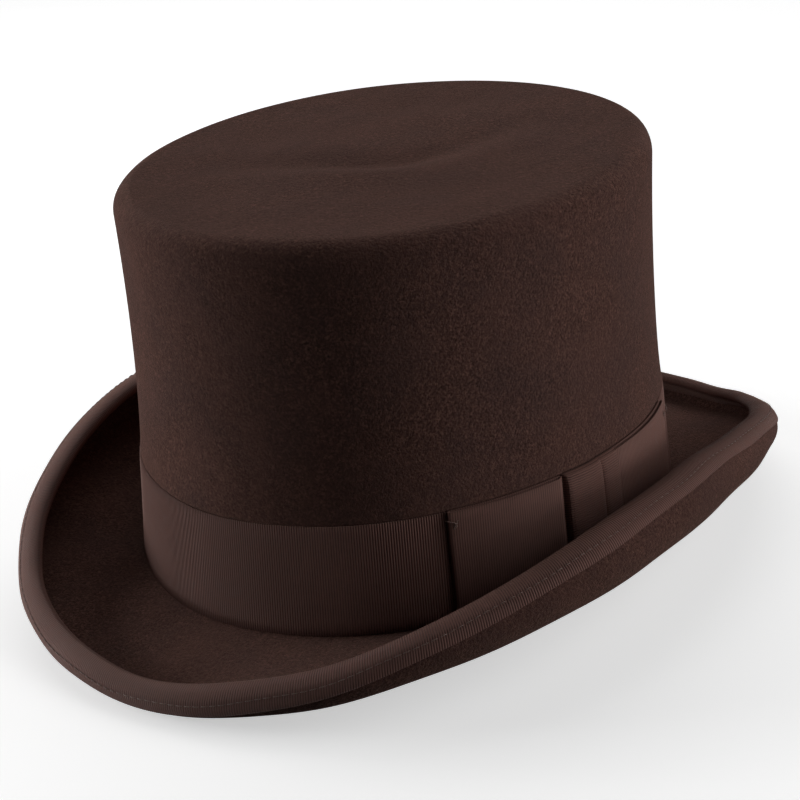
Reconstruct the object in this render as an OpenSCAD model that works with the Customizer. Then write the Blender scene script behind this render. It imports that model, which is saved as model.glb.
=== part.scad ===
// Top hat in wool felt: one blocked felt body, ribbon trim, leather sweatband and satin lining.
// Frame: origin under the middle of the hat on the surface it stands on, front towards -Y,
// the wearer's left (the bow's side) towards +X, crown towards +Z.

/* [Crown] */
// Half length of the crown's base over the felt, front to back
base_half_length = 103; // [98:0.5:108]
// Half width of the crown's base over the felt
base_half_width = 90; // [86:0.5:95]
// Height of the crown, from the brim's underside at the front to the tip
crown_height = 137.2; // [110:0.2:160]
// Radius of the round between the crown's side and its tip
tip_round = 7; // [6:0.5:18]
// How far the side stands in at the top, against the base
side_inset = 3.3; // [0:0.1:6]
// How far the side is drawn in at half height
side_waist = 2.2; // [0:0.1:5]
// How much higher the brim joins the crown at the sides than at the front
side_rise = 2.5; // [0:0.5:6]
// Thickness of the felt
felt_t = 2.6; // [2:0.1:3]

/* [Brim width, along the felt] */
// At the front
width_front = 59.2; // [54:0.1:64]
// Halfway between front and side
width_front_quarter = 61.4; // [56:0.1:66]
// At the side
width_side = 63.8; // [58:0.1:68]
// Halfway between side and back
width_rear_quarter = 59.4; // [54:0.1:64]
// At the back
width_back = 61.3; // [56:0.1:66]

/* [Brim slope, degrees upwards] */
// At the front
slope_front = -10.4; // [-14:0.1:-4]
// Halfway between front and side
slope_front_quarter = 10.1; // [4:0.1:14]
// At the side
slope_side = 32.3; // [24:0.1:36]
// Halfway between side and back
slope_rear_quarter = 18.1; // [8:0.1:20]
// At the back
slope_back = -11.4; // [-15:0.1:-4]

/* [Radius of the rolled edge] */
// At the front
roll_front = 5.4; // [5:0.1:7]
// Halfway between front and side
roll_front_quarter = 7.7; // [6:0.1:8.5]
// At the side
roll_side = 10.4; // [8:0.1:11]
// Halfway between side and back
roll_rear_quarter = 6.3; // [6:0.1:8]
// At the back
roll_back = 6.6; // [5.5:0.1:8]

/* [Turn of the rolled edge, degrees] */
// At the front
turn_front = 193; // [170:1:200]
// Halfway between front and side
turn_front_quarter = 188; // [165:1:200]
// At the side
turn_side = 169; // [150:1:180]
// Halfway between side and back
turn_rear_quarter = 201; // [170:1:205]
// At the back
turn_back = 187; // [170:1:200]

/* [Ribbon trim] */
// Height of the hatband
band_height = 38; // [25:1:45]
// Thickness of the hatband
band_t = 0.7; // [0.5:0.1:1]
// Width of the binding that shows on each face of the edge
binding_width = 12; // [8:0.5:14]
// Thickness of the binding
binding_t = 0.5; // [0.4:0.1:0.8]
// Distance of the binding's stitching from the edge
stitch_from_edge = 8; // [5:0.5:9]
// Diameter of the sewing thread
thread_d = 0.5; // [0.3:0.1:0.6]

/* [Bow] */
// Where the front loop ends, in degrees round from the front
bow_start = 52.5; // [45:0.5:58]
// Where the front loop meets the knot
knot_start = 77.5; // [70:0.5:80]
// Where the knot's upper layer ends
knot_fold = 87.5; // [84:0.5:90]
// Where the knot meets the rear loop
knot_end = 92.5; // [91:0.5:96]
// Where the rear loop ends
bow_end = 117.5; // [110:0.5:125]
// Thickness of a loop at its fullest
loop_t = 3.6; // [2.5:0.1:4.5]
// Thickness of the knot
knot_t = 4.2; // [3:0.1:5]

/* [Inside] */
// Height of the leather sweatband
sweatband_height = 40; // [32:1:44]
// Thickness of the leather
leather_t = 1; // [0.8:0.1:1.4]
// Thickness of the satin lining
satin_t = 0.4; // [0.3:0.1:0.6]
// Width of the small bow at the back of the sweatband
back_bow_width = 30; // [20:1:36]

/* [Hidden] */

felt_colour = [0.30, 0.22, 0.19];
ribbon_colour = [0.20, 0.15, 0.13];
thread_colour = [0.42, 0.33, 0.29];
leather_colour = [0.24, 0.15, 0.10];
satin_colour = [0.16, 0.12, 0.11];
label_colour = [0.80, 0.77, 0.70];

segments = 72;                 // steps round the hat
bare_steps = 5;                // steps along the roll up to the binding
bound_steps = 5;               // steps along the roll under the binding
air = 0.15;                    // gap between one layer and the next
reed_r = 0.6;                  // radius of the sweatband's reed
edge_r = felt_t / 2;           // round of the felt's own edge
fillet = 0.8;                  // bend where the crown's side meets the brim
ring_angles = [for (i = [0 : segments - 1]) i * 360 / segments];

// Each list runs from the front to the back in steps of 45 degrees.
widths = [width_front, width_front_quarter, width_side, width_rear_quarter, width_back];
slopes = [slope_front, slope_front_quarter, slope_side, slope_rear_quarter, slope_back];
rolls = [roll_front, roll_front_quarter, roll_side, roll_rear_quarter, roll_back];
turns = [turn_front, turn_front_quarter, turn_side, turn_rear_quarter, turn_back];

function total(v, i = 0) = i < len(v) ? v[i] + total(v, i + 1) : 0;
function half_ends(i) = i == 0 || i == 4 ? 0.5 : 1;
// The cosine series through five stations, and its value at angle a from the front.
function series(v) = [
    for (k = [0 : 4]) half_ends(k) / 2 * total([for (j = [0 : 4]) half_ends(j) * v[j] * cos(45 * j * k)])
];
function at_angle(coefficients, a) = total([for (k = [0 : 4]) coefficients[k] * cos(k * a)]);

width_series = series(widths);
slope_series = series(slopes);
roll_series = series(rolls);
turn_series = series(turns);

function brim_width(a) = at_angle(width_series, a);
function slope(a) = at_angle(slope_series, a);
function roll(a) = at_angle(roll_series, a);
function turn(a) = at_angle(turn_series, a);
function flat_width(a) = brim_width(a) - roll(a) * turn(a) * PI / 180;

// A point of the brim's section: d along the underside from the crown, u up through the felt.
// It gives [outwards, upwards] from the crown's base.
function brim_point(a, d, u) =
    let (
        flat = flat_width(a),
        on_flat = min(d, flat),
        heading = slope(a) + max(0, d - flat) / roll(a) * 180 / PI
    )
    [
        on_flat * cos(slope(a)) + roll(a) * (sin(heading) - sin(slope(a))) - u * sin(heading),
        on_flat * sin(slope(a)) + roll(a) * (cos(slope(a)) - cos(heading)) + u * cos(heading)
    ];

// Distances along the roll: the stretch under the binding, and the whole roll up to the edge's round.
function bound_distances(a) = [
    for (i = [0 : bound_steps])
        brim_width(a) - binding_width + (binding_width - edge_r) * i / bound_steps
];
function roll_distances(a) = concat(
    [for (i = [0 : bare_steps - 1])
        flat_width(a) + (brim_width(a) - binding_width - flat_width(a)) * i / bare_steps],
    bound_distances(a)
);
function rise(a) = side_rise * pow(sin(a), 2);
underside_heights = [
    for (a = ring_angles) for (d = roll_distances(a)) rise(a) + brim_point(a, d, 0)[1]
];
base_z = -min(underside_heights);
tip_z = base_z + crown_height;
function foot_z(a) = base_z + rise(a);

// The crown's side, as an offset from the base oval at height z.
function up_side(a, z) = (z - foot_z(a)) / (tip_z - tip_round - foot_z(a));
function side_offset(a, z) =
    let (h = min(1, max(0, up_side(a, z))))
    -side_inset * h - 4 * side_waist * h * (1 - h);

// The point at offset r outside the base oval, at height z.
function place(a, r, z) =
    let (
        n = [sin(a) / base_half_width, -cos(a) / base_half_length],
        unit = n / norm(n)
    )
    [base_half_width * sin(a) + unit[0] * r, -base_half_length * cos(a) + unit[1] * r, z];
function on_side(a, z, out) = place(a, side_offset(a, z) + out, z);
function on_brim(a, d, u) =
    let (p = brim_point(a, d, u))
    place(a, p[0], foot_z(a) + p[1]);
// Height over the crown's foot of what lies under a strip at offset out: the brim's top, or nothing inside.
function ledge(a, out) = out > 0 ? felt_t / cos(slope(a)) + out * tan(slope(a)) : 0;

// A closed solid through rows of points. Each row is a closed outline with the same number of points.
module skin(rows, closed = false) {
    n = len(rows[0]);
    m = len(rows);
    spans = closed ? m : m - 1;
    corners = [[[0, 0], [0, 1], [1, 1]], [[0, 0], [1, 1], [1, 0]]];
    sides = [
        for (i = [0 : spans - 1], j = [0 : n - 1], triangle = corners)
            [for (c = triangle) ((i + c[0]) % m) * n + (j + c[1]) % n]
    ];
    caps = closed ? [] : [
        [for (j = [n - 1 : -1 : 0]) j],
        [for (j = [0 : n - 1]) (m - 1) * n + j]
    ];
    polyhedron(points = [for (row = rows) for (p = row) p], faces = concat(sides, caps), convexity = 10);
}

// A strip on the crown's side, at the given angles. Its lower edge is lift above what lies under it,
// and its back face is inner outside the felt. thick is one thickness, or one for each angle.
module side_strip(angles, lift, height, inner, thick, levels = 4) {
    skin([
        for (i = [0 : len(angles) - 1])
            let (a = angles[i], t = is_list(thick) ? thick[i] : thick, top = ledge(a, inner) + lift + height)
            [for (face = [[inner + t, 0, 1], [inner, levels, -1]])
                for (k = [0 : levels])
                    let (
                        low = ledge(a, face[0]) + lift,
                        level = (face[1] + face[2] * k) / levels
                    )
                    on_side(a, foot_z(a) + low + (top - low) * level, face[0])]
    ]);
}

// A thin round cord round the hat. Each centre is an [outwards, upwards] pair for its angle.
module ring_cord(centres, radius) {
    sides = 5;
    skin([
        for (i = [0 : segments - 1])
            [for (s = [0 : sides - 1])
                place(ring_angles[i], centres[i][0] + radius * cos(s * 360 / sides),
                      centres[i][1] + radius * sin(s * 360 / sides))]
    ], closed = true);
}

// Rows of the crown's shell, sunk by depth below the outer face. They run from the tip's edge down.
function crown_rows(depth, steps, low) = concat(
    [for (i = [0 : steps])
        let (q = 90 * i / steps, r = tip_round - depth)
        [for (a = ring_angles)
            place(a, -side_inset - tip_round + r * sin(q), tip_z - tip_round + r * cos(q))]],
    [for (i = [1 : 7])
        [for (a = ring_angles)
            let (z = tip_z - tip_round + (foot_z(a) + low - tip_z + tip_round) * i / 7)
            on_side(a, z, -depth)]]
);
function mirrored(list) = [for (i = [len(list) - 1 : -1 : 0]) list[i]];

// The felt: the crown's outside, the brim's top, the rolled edge, the underside and the inside.
function felt_rows() = concat(
    crown_rows(0, 6, felt_t + fillet),
    [[for (a = ring_angles) place(a, fillet * 0.3, foot_z(a) + ledge(a, fillet * 0.3) + fillet * 0.3)]],
    [[for (a = ring_angles) on_brim(a, 2 * fillet, felt_t)]],
    [for (i = [0 : bare_steps + bound_steps])
        [for (a = ring_angles) on_brim(a, roll_distances(a)[i], felt_t)]],
    [for (q = [135, 90, 45])
        [for (a = ring_angles) on_brim(a, brim_width(a) - edge_r + edge_r * sin(q), edge_r - edge_r * cos(q))]],
    [for (i = [bare_steps + bound_steps : -1 : 0])
        [for (a = ring_angles) on_brim(a, roll_distances(a)[i], 0)]],
    [[for (a = ring_angles) on_brim(a, 1, 0)]],
    [[for (a = ring_angles) place(a, -felt_t * 0.6, foot_z(a) + felt_t * 0.3)]],
    mirrored(crown_rows(felt_t, 6, felt_t + fillet))
);
module felt_body() {
    color(felt_colour) skin(felt_rows());
}

// The outline of the binding at one angle: out over the edge, and back along the felt.
function edge_wrap(a, gap) = concat(
    [for (d = bound_distances(a)) [d, -gap]],
    [for (q = [45, 90, 135])
        [brim_width(a) - edge_r + (edge_r + gap) * sin(q), edge_r - (edge_r + gap) * cos(q)]],
    [for (d = mirrored(bound_distances(a))) [d, felt_t + gap]]
);
module brim_binding() {
    color(ribbon_colour) skin([
        for (a = ring_angles)
            [for (p = concat(edge_wrap(a, air + binding_t), mirrored(edge_wrap(a, air))))
                on_brim(a, p[0], p[1])]
    ], closed = true);
}

module binding_stitching() {
    outside = -(air + binding_t + thread_d / 2 + 0.1);
    inside = felt_t - outside;
    color(thread_colour) for (u = [outside, inside])
        ring_cord([
            for (a = ring_angles)
                let (p = brim_point(a, brim_width(a) - stitch_from_edge, u))
                [p[0], foot_z(a) + p[1]]
        ], thread_d / 2);
}

// The hatband is one strip. Its ends meet under the knot.
band_lift = 0.8;
band_meets = (knot_start + knot_end) / 2;
module hatband() {
    half_gap = 0.3;
    step = 360 / segments;
    color(ribbon_colour) side_strip(
        concat(
            [band_meets + half_gap],
            [for (i = [1 : segments - 1]) band_meets + i * step],
            [band_meets + 360 - half_gap]
        ),
        band_lift, band_height, air, band_t
    );
}

bow_inner = air + band_t + 0.1;     // the bow's back face, off the felt
bow_gap = 0.3;                      // degrees between the knot and a loop
loop_steps = 10;
// A loop's fullness from its folded end (0) to the knot (1).
function loop_fullness(s) = 0.45 + 0.55 * sin(min(1, s / 0.8) * 90) - 0.35 * max(0, s - 0.8) / 0.2;
// A loop from angle low to angle high. The folded end is at the low angle, or at the high one if flipped.
module bow_loop(low, high, flipped = false) {
    steps = [for (i = [0 : loop_steps]) i / loop_steps];
    color(ribbon_colour) side_strip(
        [for (s = steps) low + (high - low) * s],
        band_lift + 0.2, band_height - 0.4, bow_inner,
        [for (s = steps) loop_t * loop_fullness(flipped ? 1 - s : s)]
    );
}
module bow_front_loop() {
    bow_loop(bow_start, knot_start - bow_gap);
}
module bow_rear_loop() {
    bow_loop(knot_end + bow_gap, bow_end, flipped = true);
}

// The knot is a ribbon wrapped up and over, in two layers: the upper one ends at knot_fold.
module bow_knot() {
    lower = 0.7;
    profile = [
        [knot_start, 0.75], [knot_start + 1.5, 0.95], [(knot_start + knot_fold) / 2, 1],
        [knot_fold - 0.4, 0.92], [knot_fold, lower], [knot_end - 1, lower - 0.08], [knot_end, lower - 0.25]
    ];
    color(ribbon_colour) side_strip(
        [for (p = profile) p[0]], band_lift - 0.2, band_height + 0.6, bow_inner,
        [for (p = profile) knot_t * p[1]], levels = 6
    );
}

// Short threads that tack each loop's outer end to the band.
module bow_tacks() {
    length = 2.4;
    color(thread_colour) for (a = [bow_start + 1.2, bow_end - 1.2]) {
        z = foot_z(a) + ledge(a, air) + band_height - 3;
        out = bow_inner + loop_t * loop_fullness(0.05) + thread_d / 2 + 0.15;
        translate(on_side(a, z, out)) rotate([0, 30, a]) cylinder(d = thread_d, h = length, center = true, $fn = 24);
    }
}

sweat_out = -felt_t - 2 * reed_r - 0.4;       // outer face of the leather
sweat_in = sweat_out - leather_t;
sweat_low = 0.3;
joint_half_angle = 0.25;
module sweatband() {
    color(leather_colour) side_strip(
        [for (i = [0 : segments]) 180 + joint_half_angle + (360 - 2 * joint_half_angle) * i / segments],
        sweat_low, sweatband_height, sweat_in, leather_t
    );
}
module sweatband_reed() {
    color(leather_colour) ring_cord([
        for (a = ring_angles) [-felt_t - 0.2 - reed_r, foot_z(a) + felt_t]
    ], reed_r);
}
stitch_rise = 4.5;                            // height of the sweatband's stitching over its lower edge
module sweatband_stitching() {
    color(thread_colour) ring_cord([
        for (a = ring_angles)
            let (z = foot_z(a) + sweat_low + stitch_rise)
            [side_offset(a, z) + sweat_in - thread_d / 2 - 0.1, z]
    ], thread_d / 2);
}
// The tape behind the leather's joint, on the outer side.
module sweatband_joint_tape() {
    tape_half_angle = 3;
    tape_t = 0.5;
    color(ribbon_colour) side_strip(
        [for (i = [0 : 4]) 180 - tape_half_angle + 2 * tape_half_angle * i / 4],
        sweat_low + 6, 12, sweat_out + 0.1, tape_t
    );
}

// A flat bow that marks the back of the sweatband: two loops and a knot, side by side.
module sweatband_bow() {
    bow_z = base_z + sweat_low + 14;
    back_y = base_half_length - felt_t - 2 * reed_r - leather_t - 4.2;
    knot_w = 5;
    loop_w = (back_bow_width - knot_w) / 2 - 0.2;
    color(ribbon_colour) translate([0, back_y, bow_z]) rotate([90, 0, 0]) {
        translate([0, 0, -0.6]) linear_extrude(2) square([knot_w, 6], center = true);
        for (side = [-1, 1]) linear_extrude(1.2)
            polygon([for (p = [[0, -2], [loop_w, -5], [loop_w + 0.1, 0], [loop_w, 5], [0, 2]])
                [side * (knot_w / 2 + 0.2 + p[0]), p[1]]]);
    }
}

lining_gap = 0.2;
lining_low = 26;                              // lower edge of the lining over the base, behind the leather
// The outline of the lining's side at one angle, at a depth below the felt's outer face.
function lining_path(a, depth) = concat(
    [for (i = [0 : 4])
        let (z = foot_z(a) + lining_low + (tip_z - tip_round - foot_z(a) - lining_low) * i / 4)
        [side_offset(a, z) - depth, z]],
    [for (q = [20, 40, 60])
        [-side_inset - tip_round + (tip_round - depth) * cos(q), tip_z - tip_round + (tip_round - depth) * sin(q)]]
);
module lining_side() {
    outer = felt_t + lining_gap;
    color(satin_colour) skin([
        for (a = ring_angles)
            [for (p = concat(lining_path(a, outer), mirrored(lining_path(a, outer + satin_t))))
                place(a, p[0], p[1])]
    ], closed = true);
}
// The lining's tip hangs just below the top of its side piece.
module lining_tip() {
    hang = 5;
    inner_round = tip_round - felt_t - lining_gap - satin_t;
    inset = -side_inset - tip_round + sqrt(pow(inner_round, 2) - pow(tip_round - hang, 2)) - 0.3;
    color(satin_colour) translate([0, 0, tip_z - hang - satin_t]) linear_extrude(satin_t)
        polygon([for (a = ring_angles) [place(a, inset, 0)[0], place(a, inset, 0)[1]]]);
}

// A woven tab with no lettering, sewn behind the top of the sweatband and standing over it.
module size_label() {
    label_half_angle = 6;
    label_t = 0.3;
    centre = 150;
    color(label_colour) side_strip(
        [for (i = [0 : 4]) centre - label_half_angle + 2 * label_half_angle * i / 4],
        sweatband_height - 8, 20, -felt_t - lining_gap - satin_t - 0.15 - label_t, label_t
    );
}

felt_body();
brim_binding();
binding_stitching();
hatband();
bow_front_loop();
bow_knot();
bow_rear_loop();
bow_tacks();
sweatband();
sweatband_reed();
sweatband_stitching();
sweatband_joint_tape();
sweatband_bow();
lining_side();
lining_tip();
size_label();
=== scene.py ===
"""A dark brown wool-felt top hat: felt, grosgrain, bow, stitching, leather sweatband and satin lining."""

import math

import bpy
import numpy as np
from mathutils import Matrix, Vector


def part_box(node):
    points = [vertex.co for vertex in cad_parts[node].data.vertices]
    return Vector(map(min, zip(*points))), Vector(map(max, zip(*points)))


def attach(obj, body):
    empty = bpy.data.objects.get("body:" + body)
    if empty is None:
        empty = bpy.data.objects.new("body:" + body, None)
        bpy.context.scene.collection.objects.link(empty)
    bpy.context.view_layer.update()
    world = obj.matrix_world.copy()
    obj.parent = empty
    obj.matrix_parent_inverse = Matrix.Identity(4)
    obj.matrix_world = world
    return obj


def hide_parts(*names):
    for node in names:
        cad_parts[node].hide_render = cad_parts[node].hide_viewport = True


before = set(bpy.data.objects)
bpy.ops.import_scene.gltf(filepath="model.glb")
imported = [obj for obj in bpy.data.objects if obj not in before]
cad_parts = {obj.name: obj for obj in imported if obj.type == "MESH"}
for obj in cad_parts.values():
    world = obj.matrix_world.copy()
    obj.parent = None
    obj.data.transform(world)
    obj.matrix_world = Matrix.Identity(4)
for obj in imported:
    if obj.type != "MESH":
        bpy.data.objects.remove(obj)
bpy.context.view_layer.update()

# ---------------------------------------------------------------- camera
CAMERA_AZIMUTH = 41.95      # degrees round from the front, towards the wearer's left
CAMERA_ELEVATION = 22.82
CAMERA_ROLL = -4.42
CAMERA_DISTANCE = 0.8152    # metres from the aim point
CAMERA_LENS = 102.4         # millimetres on a 36 mm sensor
AIM_HEIGHT = 0.0527
AIM_RIGHT = -0.0013


def add_camera():
    """Sets the camera and returns two directions: back towards it, and level to its right."""
    az, el, roll = (math.radians(d) for d in (CAMERA_AZIMUTH, CAMERA_ELEVATION, CAMERA_ROLL))
    back = Vector((math.sin(az) * math.cos(el), -math.cos(az) * math.cos(el), math.sin(el)))
    level_right = Vector((math.cos(az), math.sin(az), 0))
    level_up = back.cross(level_right)
    right = level_right * math.cos(roll) + level_up * math.sin(roll)
    up = level_up * math.cos(roll) - level_right * math.sin(roll)
    place = Vector((0, 0, AIM_HEIGHT)) + level_right * AIM_RIGHT + back * CAMERA_DISTANCE
    data = bpy.data.cameras.new("camera")
    data.lens = CAMERA_LENS
    data.sensor_width = 36
    data.clip_end = 20
    camera = bpy.data.objects.new("camera", data)
    bpy.context.scene.collection.objects.link(camera)
    camera.matrix_world = Matrix.Translation(place) @ Matrix((right, up, back)).transposed().to_4x4()
    bpy.context.scene.camera = camera
    return back, level_right


CAMERA_BACK, CAMERA_RIGHT = add_camera()

# ---------------------------------------------------------------- the hat's shape, in millimetres
HALF_LENGTH, HALF_WIDTH = 103.0, 90.0       # the crown's base oval
CROWN_HEIGHT, TIP_ROUND = 137.2, 7.0
SIDE_INSET, SIDE_WAIST, SIDE_RISE = 3.3, 2.2, 2.5
FELT = 2.6
# Each list runs from the front to the back in steps of 45 degrees.
STATIONS = {
    "width": (59.2, 61.4, 63.8, 59.4, 61.3),
    "slope": (-10.4, 10.1, 32.3, 18.1, -11.4),
    "roll": (5.4, 7.7, 10.4, 6.3, 6.6),
    "turn": (193, 188, 169, 201, 187),
}
EDGE = FELT / 2                             # round of the felt's own edge
AIR = 0.15                                  # between the felt and a ribbon that lies on it
RIB, SCALLOP = 0.85, 0.14                   # one rib of the grosgrain, and its bump in the selvedge
BAND_RIB, BINDING_RIB, LOOP_RIB, KNOT_RIB, TAPE_RIB = 0.16, 0.15, 0.15, 0.2, 0.04      # depths of the ribs
FURROW_DEPTH, FURROW_REACH = 0.2, 0.5       # the binding sinks under its stitches
STITCH_LIFT, STITCH_SWAY = 0.09, 0.22
# millimetres from stitch to stitch, the share of them that shows, and the thread's radius
BINDING_STITCH = (3.1, 0.8, 0.15)
SWEATBAND_STITCH = (3.4, 0.72, 0.19)
TACK_THREAD = 0.17
BAND_LIFT, BAND_HEIGHT, BAND_T = 0.8, 38.0, 0.7
BINDING_WIDTH, BINDING_T, STITCH_FROM_EDGE = 12.0, 0.5, 8.0
BOW_START, KNOT_START, KNOT_END, BOW_END = 52.5, 77.5, 92.5, 117.5      # degrees round from the front
BOW_INNER = AIR + BAND_T + 0.1
BOW_TALLER = 0.6                            # the bow's ribbons cover the band's edge by this
LOOP_T, KNOT_WIDTH, KNOT_FACE, KNOT_TUCK = 0.45, 30, 26, 2.0
REED = 0.6                                  # radius
LEATHER, SWEAT_LOW, SWEAT_HEIGHT = 1.0, 0.3, 40.0
SWEAT_OUT = -FELT - 2 * REED - 0.4
SWEAT_IN = SWEAT_OUT - LEATHER
PRESSED_LINES = ((0.93, 0.012, 0.16), (0.113, 0.02, 0.22))      # level on the leather, reach, depth
TAPE_LIFT, TAPE_WIDTH = 6, 12
SATIN, LINING_GAP, LINING_LOW, LINING_HANG = 0.4, 0.2, 26.0, 5.0
LINING_CUT = (112, 660)                     # flat side piece, with 15 % of fullness for the gathers
GATHERS = 46
LABEL_ANGLE, LABEL_REACH, LABEL_HEIGHT = 150, 6, 20

tip_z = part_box("felt_body")[1].z * 1000
base_z = tip_z - CROWN_HEIGHT


def series(values):
    """The cosine series through five stations."""
    ends = np.array([0.5, 1, 1, 1, 0.5])
    k = np.arange(5)
    return ends / 2 * (np.cos(np.radians(45) * np.outer(k, k)) @ (ends * np.array(values, float)))


SERIES = {name: series(values) for name, values in STATIONS.items()}


def at_angle(name, a):
    """The value of one station list at angle a, in degrees round from the front."""
    a = np.radians(np.asarray(a, float))
    return sum(c * np.cos(k * a) for k, c in enumerate(SERIES[name]))


def flat_width(a):
    """Width of the brim's straight part, before it rolls up."""
    return at_angle("width", a) - at_angle("roll", a) * np.radians(at_angle("turn", a))


def brim_point(a, d, u):
    """A point of the brim's section, d along the underside from the crown and u up through the felt."""
    slope, roll, flat = np.radians(at_angle("slope", a)), at_angle("roll", a), flat_width(a)
    on_flat = np.minimum(d, flat)
    heading = slope + np.maximum(0, d - flat) / roll
    out = on_flat * np.cos(slope) + roll * (np.sin(heading) - np.sin(slope)) - u * np.sin(heading)
    rise = on_flat * np.sin(slope) + roll * (np.cos(slope) - np.cos(heading)) + u * np.cos(heading)
    return out, rise


def foot_z(a):
    """Height of the crown's foot, which is highest at the sides."""
    return base_z + SIDE_RISE * np.sin(np.radians(a)) ** 2


def side_offset(a, z):
    """How far the crown's side is outside the base oval at height z."""
    h = np.clip((z - foot_z(a)) / (tip_z - TIP_ROUND - foot_z(a)), 0, 1)
    return -SIDE_INSET * h - 4 * SIDE_WAIST * h * (1 - h)


def place(a, r, z):
    """The point at offset r outside the base oval, at angle a and height z."""
    a, r, z = np.broadcast_arrays(np.asarray(a, float), r, z)
    s, c = np.sin(np.radians(a)), np.cos(np.radians(a))
    n = np.stack([s / HALF_WIDTH, -c / HALF_LENGTH], -1)
    n /= np.linalg.norm(n, axis=-1, keepdims=True)
    return np.stack([HALF_WIDTH * s + n[..., 0] * r, -HALF_LENGTH * c + n[..., 1] * r, z], -1)


def on_side(a, z, out):
    return place(a, side_offset(a, z) + out, z)


def on_brim(a, d, u):
    out, rise = brim_point(a, d, u)
    return place(a, out, foot_z(a) + rise)


def ledge(a, out):
    """Height over the crown's foot of the brim's top, at offset out."""
    slope = np.radians(at_angle("slope", a))
    return FELT / np.cos(slope) + out * np.tan(slope)


WAVE_OUT = (0.30, 0.22)     # two waves that push the side in and out
WAVE_UP = (0.28, 0.20)      # two waves that lift the brim
CROWN_SHARE = 0.35          # of the waves in and out; the brim takes all of them
TIP_SAG = 0.25


def uneven(p):
    """The hand-made unevenness of the whole hat, so that neighbours move together. Phases run in centimetres."""
    x, y, z = (p[..., i] / 10 for i in range(3))
    wave = (WAVE_OUT[0] * np.sin(0.9 * x + 0.5 * y + 0.3)
            + WAVE_OUT[1] * np.sin(1.3 * y - 0.7 * x + 0.4 * z + 1.1))
    lift = WAVE_UP[0] * np.sin(0.8 * y + 0.9 * x + 2.0) + WAVE_UP[1] * np.sin(1.5 * x - 1.1 * y + 0.7)
    sag = TIP_SAG * (0.5 + 0.5 * np.sin(0.55 * x + 0.35 * y))
    away = np.clip((np.hypot(x / (HALF_WIDTH / 10), y / (HALF_LENGTH / 10)) - 0.9) / 0.5, 0, 1)
    high = np.clip(z / 14.7, 0, 1) ** 2
    off_floor = np.clip(z / 0.4, 0, 1)
    radial = np.stack([x, y, 0 * z], -1) / np.maximum(np.hypot(x, y), 1e-6)[..., None]
    moved = p + radial * (wave * (CROWN_SHARE + (1 - CROWN_SHARE) * away))[..., None]
    moved[..., 2] += lift * away * off_floor - sag * high
    moved[..., 2] = np.maximum(moved[..., 2], 0)
    return moved


# ---------------------------------------------------------------- meshes
def mesh_object(name, points, faces, attributes=()):
    mesh = bpy.data.meshes.new(name)
    mesh.from_pydata((uneven(points) * 0.001).tolist(), [], faces)
    for key, values in attributes:
        mesh.attributes.new(key, "FLOAT", "POINT").data.foreach_set("value", np.asarray(values, np.float32))
    mesh.polygons.foreach_set("use_smooth", [True] * len(mesh.polygons))
    mesh.update()
    piece = bpy.data.objects.new(name, mesh)
    bpy.context.scene.collection.objects.link(piece)
    return piece


def grid_faces(rows, columns, wrap_rows, wrap_columns, start=0):
    """The quads of a grid of points, closed along its rows or columns where asked."""
    i = np.arange(rows if wrap_rows else rows - 1)[:, None]
    j = np.arange(columns if wrap_columns else columns - 1)[None, :]
    i2, j2 = (i + 1) % rows, (j + 1) % columns
    quads = np.stack([i * columns + j, i * columns + j2, i2 * columns + j2, i2 * columns + j], -1)
    return (quads.reshape(-1, 4) + start).tolist()


def tube_faces(m, n, start=0):
    """Faces of a solid through m rings of n points, closed at both ends."""
    ends = [[start + j for j in range(n)][::-1], [start + (m - 1) * n + j for j in range(n)]]
    return grid_faces(m, n, False, True, start) + ends


def on_cloth(along, across):
    """Where each point lies on the cloth, in millimetres along its length and across it."""
    return [("along", along[:, None] + 0 * across), ("across", across)]


def closed_ring(name, rows):
    """A closed shell from rows that each go round the hat, with the first and last row filled by a fan."""
    rows = np.asarray(rows)
    m, n = rows.shape[:2]
    points = rows.reshape(-1, 3)
    middles = np.stack([rows[0].mean(0), rows[-1].mean(0)])
    faces = [f[::-1] for f in grid_faces(m, n, False, True)]
    faces += [[m * n, j, (j + 1) % n] for j in range(n)]
    faces += [[m * n + 1, (m - 1) * n + (j + 1) % n, (m - 1) * n + j] for j in range(n)]
    return mesh_object(name, np.concatenate([points, middles]), faces)


def tube_strip(name, sections, attributes=(), closed=False):
    """A closed solid through sections, each a closed outline of the same number of points."""
    sections = np.asarray(sections)
    m, n = sections.shape[:2]
    faces = grid_faces(m, n, True, True) if closed else tube_faces(m, n)
    flat = [(key, np.asarray(values).reshape(-1)) for key, values in attributes]
    return mesh_object(name, sections.reshape(-1, 3), faces, flat)


def finish_piece(piece, material, slot, *nodes):
    piece.data.materials.append(material)
    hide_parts(*nodes)
    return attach(piece, "root")


def cut_sheet(piece, width, length, held, *rests_on):
    """Returns the soft sheet unchanged; the size it was cut to, given in millimetres, how it is held and what it
    rests on are not used.
    """
    return piece


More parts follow.
